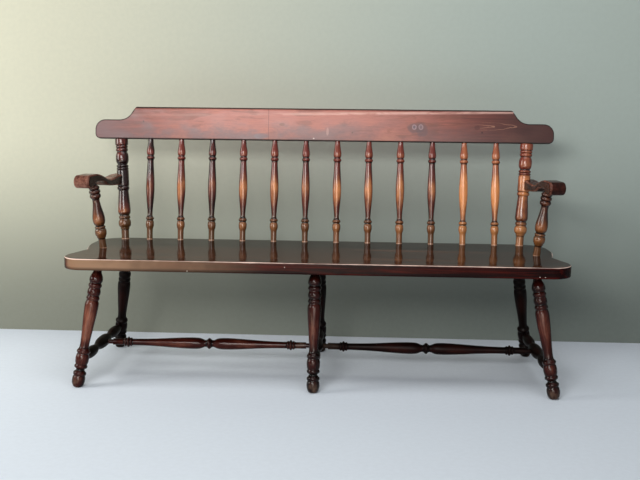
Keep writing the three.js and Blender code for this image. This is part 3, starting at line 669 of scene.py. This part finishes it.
# Marks on the boards, in metres across and up. The crest's marks also have half their width and height, a tint,
# and how strongly they show.
SEAT_JOINT = 0.012
SEAT_NICKS = [(-0.0936, 0.4234), (0.7205, 0.4071), (0.7378, 0.4068), (-0.41, 0.405)]
NICK_SIZE = (0.0016, 0.0013)
CREST_JOINT = -0.195
CREST_FLAME = dict(across=0.557, up=0.862, stretch=0.1, ring=0.0042, line=0.0033, reach=0.0155)
# Where the crest's painted highlight runs along its rolled top: its height at the middle, and its rise per
# metre across
CREST_PAINTED_HIGHLIGHT = dict(height=0.9005, slant=0.018)
CREST_MARKS = [
    (0.335, 0.853, 0.03, 0.019, (84, 66, 70), 0.6),
    (0.36, 0.846, 0.02, 0.024, (88, 68, 72), 0.55),
    (0.333, 0.857, 0.0085, 0.0095, (168, 140, 146), 0.65),
    (0.333, 0.857, 0.005, 0.006, (82, 66, 74), 0.8),
    (0.357, 0.857, 0.0085, 0.0095, (164, 134, 136), 0.6),
    (0.357, 0.857, 0.005, 0.006, (100, 78, 82), 0.75),
    (-0.146, 0.8607, 0.009, 0.005, (120, 72, 56), 0.8),
    (-0.655, 0.8665, 0.0025, 0.003, (60, 30, 30), 0.85),
    (-0.216, 0.819, 0.03, 0.014, (112, 96, 100), 0.7),
    (-0.62, 0.823, 0.02, 0.005, (104, 70, 72), 0.5),
    (0.577, 0.84, 0.0032, 0.003, (52, 24, 24), 0.85),
    (0.559, 0.857, 0.009, 0.007, (78, 36, 32), 0.7),
    (0.743, 0.838, 0.0022, 0.002, (48, 24, 24), 0.8),
    (0.11, 0.834, 0.0022, 0.002, (70, 40, 36), 0.8),
    (-0.03, 0.812, 0.003, 0.0022, (214, 190, 180), 0.8),
    (0.02, 0.838, 0.004, 0.013, (206, 160, 150), 0.35),
]


def colour(red, green, blue):
    """A colour as the eye sees it, as the light values that a shader takes."""
    def light(level):
        level /= 255
        return level / 12.92 if level <= 0.04045 else ((level + 0.055) / 1.055) ** 2.4
    return (light(red), light(green), light(blue), 1)


class Finish:
    """A material, or the world, built up node by node. Inputs are numbers, colours or other nodes' outputs."""

    def __init__(self, name, kind=bpy.data.materials):
        self.made = kind.new(name)
        self.made.use_nodes = True
        self.tree = self.made.node_tree
        self.tree.nodes.clear()

    def node(self, kind, inputs=None, **settings):
        made = self.tree.nodes.new(kind)
        for key, value in settings.items():
            setattr(made, key, value)
        for key, value in (inputs or {}).items():
            if isinstance(value, bpy.types.NodeSocket):
                self.tree.links.new(value, made.inputs[key])
            else:
                made.inputs[key].default_value = value
        return made

    def place(self):
        return self.node("ShaderNodeTexCoord").outputs["Object"]

    def axes(self, place):
        return self.node("ShaderNodeSeparateXYZ", {0: place}).outputs

    def stored(self, name, output="Fac"):
        return self.node("ShaderNodeAttribute", attribute_name=name).outputs[output]

    def mapped(self, vector, scale, shift=(0, 0, 0)):
        return self.node("ShaderNodeMapping", {"Vector": vector, "Scale": scale, "Location": shift}).outputs[0]

    def noise(self, vector, scale, detail=3, roughness=0.55, distortion=0):
        """Soft noise at one scale, or at one for each axis, with its detail, roughness and distortion."""
        if isinstance(scale, tuple):
            vector, scale = self.mapped(vector, scale), 1
        inputs = {"Vector": vector, "Scale": scale, "Detail": detail, "Roughness": roughness}
        return self.node("ShaderNodeTexNoise", {**inputs, "Distortion": distortion}).outputs["Fac"]

    def maths(self, operation, first, second=0):
        return self.node("ShaderNodeMath", {0: first, 1: second}, operation=operation).outputs[0]

    def plus(self, first, second):
        return self.maths("ADD", first, second)

    def times(self, product, *others):
        for other in others:
            product = self.maths("MULTIPLY", product, other)
        return product

    def spread(self, value, low, high, to_low=0, to_high=1):
        """A smooth step of the value, as it goes from low to high."""
        inputs = {"Value": value, "From Min": low, "From Max": high, "To Min": to_low, "To Max": to_high}
        return self.node("ShaderNodeMapRange", inputs, interpolation_type="SMOOTHSTEP").outputs[0]

    def coats(self, shade, *coats):
        """Tints laid over a shade one by one, each by its amount."""
        for amount, tint in coats:
            shades = [one if isinstance(one, bpy.types.NodeSocket) else colour(*one) for one in (shade, tint)]
            inputs = {0: amount, 6: shades[0], 7: shades[1]}
            shade = self.node("ShaderNodeMix", inputs, data_type="RGBA").outputs[2]
        return shade

    def reach(self, place, scale, shift):
        """How far a point is from a centre, in a space that the scale stretches."""
        moved = self.mapped(place, scale, shift)
        return self.node("ShaderNodeVectorMath", {0: moved}, operation="LENGTH").outputs["Value"]

    def spot(self, place, across, up, half_width, half_height, ragged=None):
        """One where a point is within an oval on the front, and nothing beyond it."""
        shift = (-across / half_width, 0, -up / half_height)
        distance = self.reach(place, (1 / half_width, 1, 1 / half_height), shift)
        if ragged is not None:
            distance = self.plus(distance, self.spread(ragged, 0.3, 0.7, -0.3, 0.3))
        return self.spread(distance, 1.15, 0.75)

    def flame(self, place, across, up, stretch, ring, line, reach, ragged):
        """Pale flame figure: long nested ovals that close towards the right."""
        distance = self.reach(place, (stretch, 0, 1), (-across * stretch, 0, -up))
        wavy = self.plus(distance, self.spread(ragged, 0.3, 0.7, -0.003, 0.003))
        rings = self.spread(self.maths("PINGPONG", wavy, ring), line, ring)
        right = self.spread(self.axes(place)["X"], across - 0.03, across + 0.06)
        return self.times(rings, self.spread(distance, reach, reach - 0.002), right)

    def bump(self, height, strength, distance, **normal):
        inputs = {"Height": height, "Strength": strength, "Distance": distance, **normal}
        return self.node("ShaderNodeBump", inputs).outputs[0]

    def skin(self, coarse, fine, share, strength, distance, **normal):
        """A bump of two noises, by the share of the coarse one."""
        height = self.plus(self.times(coarse, share), self.times(fine, 1 - share))
        return self.bump(height, strength, distance, **normal)

    def surface(self, shade, rough, shine, **others):
        inputs = {"Base Color": shade, "Roughness": rough, "Specular IOR Level": shine, **others}
        return self.node("ShaderNodeBsdfPrincipled", inputs).outputs[0]

    def finish(self, shade, rough, normal, shine=0.5, **others):
        return self.show(self.surface(shade, rough, shine, Normal=normal, **others))

    def show(self, surface, output="ShaderNodeOutputMaterial"):
        self.node(output, {"Surface": surface})
        return self.made

    def seen(self):
        """One where the camera, a gloss or a clear surface shows it, and nothing where it only casts light."""
        ray = self.node("ShaderNodeLightPath").outputs
        shown = self.maths("MAXIMUM", ray["Is Camera Ray"], ray["Is Glossy Ray"])
        return self.maths("MAXIMUM", shown, ray["Is Transmission Ray"])


def turned_wood(name, shades, gloss, shine, ring=0, scuff=0, ground_reflection=0, blush=0):
    """Stained turnings: grain along the stick, worn and painted with light and shade where the stored wear
    says, glazed dark in the grooves, with a golden painted reflection near the foot.
    """
    wood = Finish(name)
    dark, middle, bright, glaze_and_shade = shades
    stick, along = wood.stored("grain", "Vector"), wood.stored("along")
    streaks = wood.noise(stick, (170, 170, 8), 4, 0.6, 0.4)
    fibres = wood.noise(stick, (900, 900, 40), 2)
    patches = wood.noise(stick, (24, 24, 14), 3, 0.6)
    level = wood.plus(wood.stored("wear"), wood.spread(patches, 0.25, 0.75, -0.14, 0.14))
    level = wood.plus(level, wood.spread(streaks, 0.25, 0.75, -0.12, 0.12))
    shade = wood.coats(
        dark,
        (wood.spread(level, -0.05, 0.55), middle),
        (wood.spread(level, 0.36, 1.15), bright),
        (wood.spread(fibres, 0.4, 0.75, 0, 0.3), dark),
    )
    # Painted reflection: the bright ground mirrored golden near the foot
    if ground_reflection:
        shade = wood.coats(shade, (wood.spread(along, *GROUND_REFLECTION_REACH, 0, ground_reflection), (112, 80, 42)))
    if blush:
        rosy = wood.times(wood.spread(along, *BLUSH_REACH, 0, blush), wood.spread(level, -0.1, 0.35))
        shade = wood.coats(shade, (rosy, (126, 50, 40)))
    # Dark glazing in the grooves, and painted shade on the arms' faces towards the seat
    shade = wood.coats(shade, (wood.spread(wood.stored("hollow"), 0.4, 3, 0, 0.9), glaze_and_shade))
    if ring:
        joint = wood.spread(wood.maths("ABSOLUTE", along), *RING_REACH, 0, ring)
        shade = wood.coats(shade, (joint, (206, 160, 132)))
    if scuff:
        foot = wood.times(wood.spread(along, *SCUFF_REACH), wood.spread(patches, 0.44, 0.62), scuff)
        shade = wood.coats(shade, (foot, (112, 92, 76)))
    worn = wood.plus(patches, wood.times(fibres, 0.3))
    rough = wood.spread(worn, 0.3, 0.95, gloss, gloss + 0.1)
    return wood.finish(shade, rough, wood.skin(streaks, fibres, 0.6, 0.08, 0.0004), shine)


def seat_finish():
    """A dark lacquered plank of two boards, worn pale along its front arris with a painted highlight there, a
    painted reflection of bright ground at the left end of its front, and painted shade towards its right end.
    """
    wood = Finish("dark lacquered plank")
    place = wood.place()
    axes = wood.axes(place)
    side = wood.stored("side")
    bands = wood.noise(place, (1.1, 20, 20), 4, 0.6, 0.7)
    grain = wood.noise(place, (3, 75, 75), 5, 0.62, 0.6)
    fibres = wood.noise(place, (26, 700, 700), 2)
    clouds = wood.noise(place, 6, 3, 0.6)
    joint = wood.plus(axes["Y"], wood.times(wood.noise(place, 2, 2), 0.004))
    rear = wood.spread(joint, SEAT_JOINT - 0.001, SEAT_JOINT + 0.001)
    front = SEAT_MIDDLE + SEAT_FRONT * MM
    # Painted reflection of bright ground on the left end of the front edge
    painted_reflection = wood.times(
        side,
        wood.spread(axes["Y"], front + 0.03, front + 0.008),
        wood.spread(axes["X"], -0.12, -0.55, 0, 0.8),
        wood.spread(clouds, 0.3, 0.6, 0.6, 1),
        wood.spread(axes["Z"], 0.404, 0.414, 0.35, 1),
    )
    # The top arris: worn pale, and a painted highlight
    arris_wear_and_highlight = wood.plus(wood.stored("arris"), wood.spread(clouds, 0.3, 0.7, -0.25, 0.2))
    dark = (26, 13, 9)
    red = wood.coats((22, 4, 3), (wood.spread(grain, 0.45, 0.7), (72, 15, 7)))
    shade = wood.coats(
        dark,
        (wood.spread(grain, 0.3, 0.72), (60, 31, 20)),
        (wood.spread(bands, 0.42, 0.75, 0, 0.5), (104, 64, 44)),
        (wood.spread(fibres, 0.45, 0.75, 0, 0.4), dark),
        (wood.times(rear, 0.8), (13, 6, 5)),
        # Painted shade: darker towards the right end
        (wood.spread(axes["X"], 0.2, 0.75, 0, 0.45), (24, 11, 8)),
        (side, red),
        (painted_reflection, (150, 116, 90)),
        (wood.spread(arris_wear_and_highlight, 0.4, 0.85, 0, 0.95), (236, 206, 192)),
        *((wood.spot(place, *nick, *NICK_SIZE), (226, 210, 196)) for nick in SEAT_NICKS),
    )
    rough = wood.spread(wood.plus(clouds, wood.times(grain, 0.5)), 0.4, 1.1, 0.06, 0.13)
    rough = wood.plus(wood.plus(rough, wood.times(side, 0.13)), wood.times(rear, 0.05))
    waves = wood.bump(clouds, 0.06, 0.002)
    return wood.finish(shade, rough, wood.skin(grain, fibres, 0.7, 0.05, 0.0003, Normal=waves), 0.08)


def crest_finish():
    """A flat-sawn red-brown board, joined near its middle, with knots: paler under a painted sheen at its left
    and middle, in painted shade at its right end and along its rim, with a painted highlight along the rolled
    top.
    """
    wood = Finish("faded crest board")
    place = wood.place()
    axes = wood.axes(place)
    across = axes["X"]
    rim = wood.stored("rim")
    bands = wood.noise(place, (1.6, 1, 26), 4, 0.6, 0.8)
    grain = wood.noise(place, (5, 1, 110), 4, 0.6, 0.6)
    fibres = wood.noise(place, (30, 300, 700), 2)
    clouds = wood.noise(place, (7, 7, 12.6), 4, 0.62)
    smudges = wood.noise(place, (9, 1, 46), 4, 0.62, 0.8)
    # Paler wood under a painted sheen at the left and middle
    paler_and_sheen = wood.times(wood.spread(across, -0.8, -0.35), wood.spread(across, 0.62, 0.1), 0.62)
    low = wood.plus(axes["Z"], wood.spread(clouds, 0.3, 0.7, -0.035, 0.035))
    violet = wood.times(wood.spread(low, 0.872, 0.802), wood.spread(across, 0.62, -0.2, 0.45, 0.8))
    flame = wood.flame(place, **CREST_FLAME, ragged=clouds)
    seam = wood.spread(wood.maths("ABSOLUTE", wood.maths("SUBTRACT", across, CREST_JOINT)), 0.0016, 0.0006)
    # A painted highlight along the rolled top arris
    slant = wood.plus(axes["Z"], wood.times(across, -CREST_PAINTED_HIGHLIGHT["slant"]))
    away = wood.maths("ABSOLUTE", wood.maths("SUBTRACT", slant, CREST_PAINTED_HIGHLIGHT["height"]))
    painted_light = wood.times(wood.spread(away, 0.0075, 0.001), wood.spread(across, -0.3, 0.05, 0.1, 0.6))
    painted_light = wood.times(painted_light, wood.spread(smudges, 0.3, 0.6))
    deep = (84, 35, 29)
    marks = [(wood.times(wood.spot(place, *where, clouds), much), tint) for *where, tint, much in CREST_MARKS]
    shade = wood.coats(
        deep,
        (wood.spread(grain, 0.3, 0.7), (130, 62, 51)),
        (wood.spread(bands, 0.35, 0.7, 0, 0.35), (138, 76, 60)),
        (paler_and_sheen, (200, 127, 112)),
        (wood.spread(clouds, 0.5, 0.75, 0, 0.4), (184, 126, 104)),
        (wood.spread(smudges, 0.5, 0.66, 0, 0.45), (100, 58, 42)),
        (violet, (92, 70, 72)),
        (wood.spread(across, -0.6, -0.8, 0, 0.75), (112, 84, 84)),
        # Painted shade: the right end darker
        (wood.spread(across, 0.42, 0.76, 0, 0.92), (50, 18, 17)),
        (wood.times(flame, 0.4), (206, 148, 120)),
        (wood.spread(fibres, 0.45, 0.75, 0, 0.22), deep),
        *marks,
        (wood.times(seam, 0.55), (64, 30, 28)),
        (painted_light, (236, 188, 174)),
        # Painted shade along the rim and the top of the rolled arris
        (wood.times(rim, 0.95), (24, 11, 10)),
    )
    rough = wood.plus(wood.spread(clouds, 0.3, 0.75, 0.28, 0.42), wood.times(rim, 0.3))
    return wood.finish(shade, rough, wood.skin(grain, fibres, 0.6, 0.14, 0.0005), 0.28)


def small_wood(name, dark, bright):
    """Turned plugs and pins, seen mostly from the end."""
    wood = Finish(name)
    place = wood.place()
    grain = wood.noise(place, (260, 260, 60), 4, 0.6, 0.5)
    shade = wood.coats(dark, (wood.spread(grain, 0.3, 0.7), bright))
    fibres = wood.noise(place, 1400, 2)
    return wood.finish(shade, wood.spread(grain, 0.3, 0.7, 0.22, 0.36), wood.bump(fibres, 0.15, 0.0004), 0.45)


def steel():
    metal = Finish("plain screw steel")
    place = metal.place()
    tarnish = metal.noise(place, 300, 3)
    shade = metal.coats((196, 194, 190), (metal.spread(tarnish, 0.3, 0.7), (150, 146, 140)))
    scratches = metal.bump(metal.noise(place, 1200, 2), 0.1, 0.0003)
    return metal.finish(shade, metal.spread(tarnish, 0.3, 0.7, 0.28, 0.45), scratches, Metallic=1)


def make_finishes():
    for finish, wood in TURNED_WOODS.items():
        finishes[finish] = turned_wood(**wood)
    finishes[SEAT_WOOD] = seat_finish()
    finishes[CREST_WOOD] = crest_finish()


def finish_small_parts():
    """The plugs, pins and screws keep the model's own shapes."""
    small = {
        "screw_plug": small_wood("arm plugs", (40, 18, 12), (84, 42, 26)),
        "crest_pin": small_wood("crest pins", (58, 26, 20), (118, 62, 42)),
        "arm_screw": steel(),
    }
    for node, finish in small.items():
        for side, name in SIDE_NAMES:
            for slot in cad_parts[f"{node}_{name}"].material_slots:
                slot.material = finish


# The place, the lamps and the camera

WALL_LINE = SEAT_MIDDLE + 0.509
FLOOR_SIZE, WALL_SIZE = 24, 12
MATT = dict(rough=0.8, shine=0.2)
WORLD_LIGHT = dict(cast=0.15, shown=0.5, tint=(0.93, 0.96, 1, 1))
CAMERA = dict(across=0.16832, back=-3.18421, up=0.99932, yaw=0.0501154, pitch=-0.1621284, roll=0.0094994)
FOCAL_PIXELS, FRAME_PIXELS, SENSOR = 940, 640, 36


def floor_finish():
    floor = Finish("pale floor")
    mottle = floor.spread(floor.noise(floor.place(), 60), 0.3, 0.7, 0, 0.06)
    return floor.show(floor.surface(floor.coats((217, 226, 236), (mottle, (168, 174, 182))), **MATT))


def wall_finish():
    """A pale wall: warmer and lighter at the left and darker at its foot, as painted light and painted shadow,
    clear from behind, and dim as a source of light.
    """
    wall = Finish("pale wall")
    place = wall.place()
    axes = wall.axes(place)
    tint = wall.coats(
        (188, 187, 168),
        # Painted light and shadow: dimmer and cooler to the right, and a painted shadow towards the foot
        (wall.spread(axes["X"], -1.3, 0.9), (164, 175, 168)),
        (wall.spread(axes["Z"], 0.85, 0.05, 0, 0.72), (76, 82, 76)),
        (wall.spread(wall.noise(place, 60), 0.3, 0.7, 0, 0.08), (140, 146, 140)),
    )
    front = wall.surface(wall.coats(tint, (0.6, (30, 30, 30)), (wall.seen(), tint)), **MATT)
    behind = wall.node("ShaderNodeNewGeometry").outputs["Backfacing"]
    clear = wall.node("ShaderNodeBsdfTransparent").outputs[0]
    return wall.show(wall.node("ShaderNodeMixShader", {0: behind, 1: front, 2: clear}).outputs[0])


def make_sheet(name, size, matrix, material):
    data = bmesh.new()
    bmesh.ops.create_grid(data, x_segments=1, y_segments=1, size=size / 2)
    move(data, matrix)
    sheet = made_object(data, name, material)


def make_stage():
    make_sheet("floor", FLOOR_SIZE, Matrix(), floor_finish())
    upright = Matrix.Translation((0, WALL_LINE, WALL_SIZE / 2)) @ Matrix.Rotation(pi / 2, 4, "X")
    make_sheet("wall", WALL_SIZE, upright, wall_finish())


def make_lamp(name, size, power, place, target, tint=(1, 1, 1), **shown):
    """A soft lamp: width and height in metres, watts, place, what it faces, tint, and how it shows."""
    lamp = bpy.data.lights.new(name, "AREA")
    lamp.shape = "RECTANGLE"
    lamp.size, lamp.size_y = size
    lamp.energy = power
    lamp.color = tint
    stand = bpy.data.objects.new(name, lamp)
    stand.location = place
    stand.rotation_euler = (Vector(target) - Vector(place)).to_track_quat("-Z", "Y").to_euler()
    for setting, value in {"visible_camera": False, **shown}.items():
        setattr(stand, setting, value)
    bpy.context.scene.collection.objects.link(stand)
    return stand


def make_ground_glow(name, size, power, across, back, tint):
    """Bright ground in front of the bench, mirrored in the gloss alone: a lamp on the floor that faces up."""
    glow = make_lamp(name, size, power, (across, back, 0.02), (across, back, 1), tint, visible_diffuse=False)
    glow.rotation_euler = (pi, 0, 0)


def make_world():
    """A low even light, and a pale surround where the view or a reflection passes the stage."""
    world = Finish("studio", bpy.data.worlds)
    level = world.spread(world.seen(), 0, 1, WORLD_LIGHT["cast"], WORLD_LIGHT["shown"])
    light = world.node("ShaderNodeBackground", {"Color": WORLD_LIGHT["tint"], "Strength": level}).outputs[0]
    bpy.context.scene.world = world.show(light, "ShaderNodeOutputWorld")


def make_light():
    """The wall's faint light keeps the back out of the dark, and the front lamp shows in the gloss alone."""
    make_world()
    behind = (0, WALL_LINE - 0.01, 0.8)
    make_lamp("back_fill", (2.2, 0.8), 6, behind, (0, 0, 0.8), (1, 0.97, 0.92), visible_glossy=False)
    make_lamp("sky", (2.2, 0.8), 116, (-1.0, -4.3, 2.1), (-0.2, 0.1, 0.6), (1, 0.98, 0.96))
    front = (0.15, -4.6, 0.9)
    make_lamp("front", (2.6, 1.2), 84, front, (0.15, 0.2, 0.75), (1, 0.93, 0.84), visible_diffuse=False)
    make_lamp("overhead", (2.6, 1.4), 34, (0.15, -1.1, 3.1), (0, 0.2, 0.4))
    make_lamp("wall_side", (1.2, 1.2), 45, (-2.9, -0.7, 1.3), (-1.5, 0.45, 0.8), (1, 0.98, 0.92))
    make_ground_glow("ground", (2.9, 2.0), 190, -0.95, -3.9, (1, 0.86, 0.7))
    make_ground_glow("ground_left", (1.9, 1.3), 110, -2.25, -2.4, (1, 0.74, 0.5))
    make_ground_glow("ground_middle", (0.8, 1.3), 6, -0.9, -2.4, (1, 0.74, 0.6))


def make_camera():
    lens = bpy.data.cameras.new("camera")
    lens.sensor_width = SENSOR
    lens.lens = FOCAL_PIXELS / FRAME_PIXELS * SENSOR
    camera = bpy.data.objects.new("camera", lens)
    place = Matrix.Translation((CAMERA["across"], SEAT_MIDDLE + CAMERA["back"], CAMERA["up"]))
    turned = Matrix.Rotation(CAMERA["yaw"], 4, "Z") @ Matrix.Rotation(pi / 2 + CAMERA["pitch"], 4, "X")
    camera.matrix_world = place @ turned @ Matrix.Rotation(CAMERA["roll"], 4, "Z")
    bpy.context.scene.collection.objects.link(camera)
    bpy.context.scene.camera = camera


make_finishes()
make_camera()
make_stage()
make_light()
make_seat()
make_crest()
for spindle_index in range(SPINDLE_COUNT):
    make_spindle(spindle_index)
for bench_side, side_name in SIDE_NAMES:
    make_post(bench_side, side_name)
    make_arm(bench_side, side_name)
    make_stump(bench_side, side_name)
make_undercarriage()
finish_small_parts()

bpy.context.scene.view_settings.view_transform = "Standard"
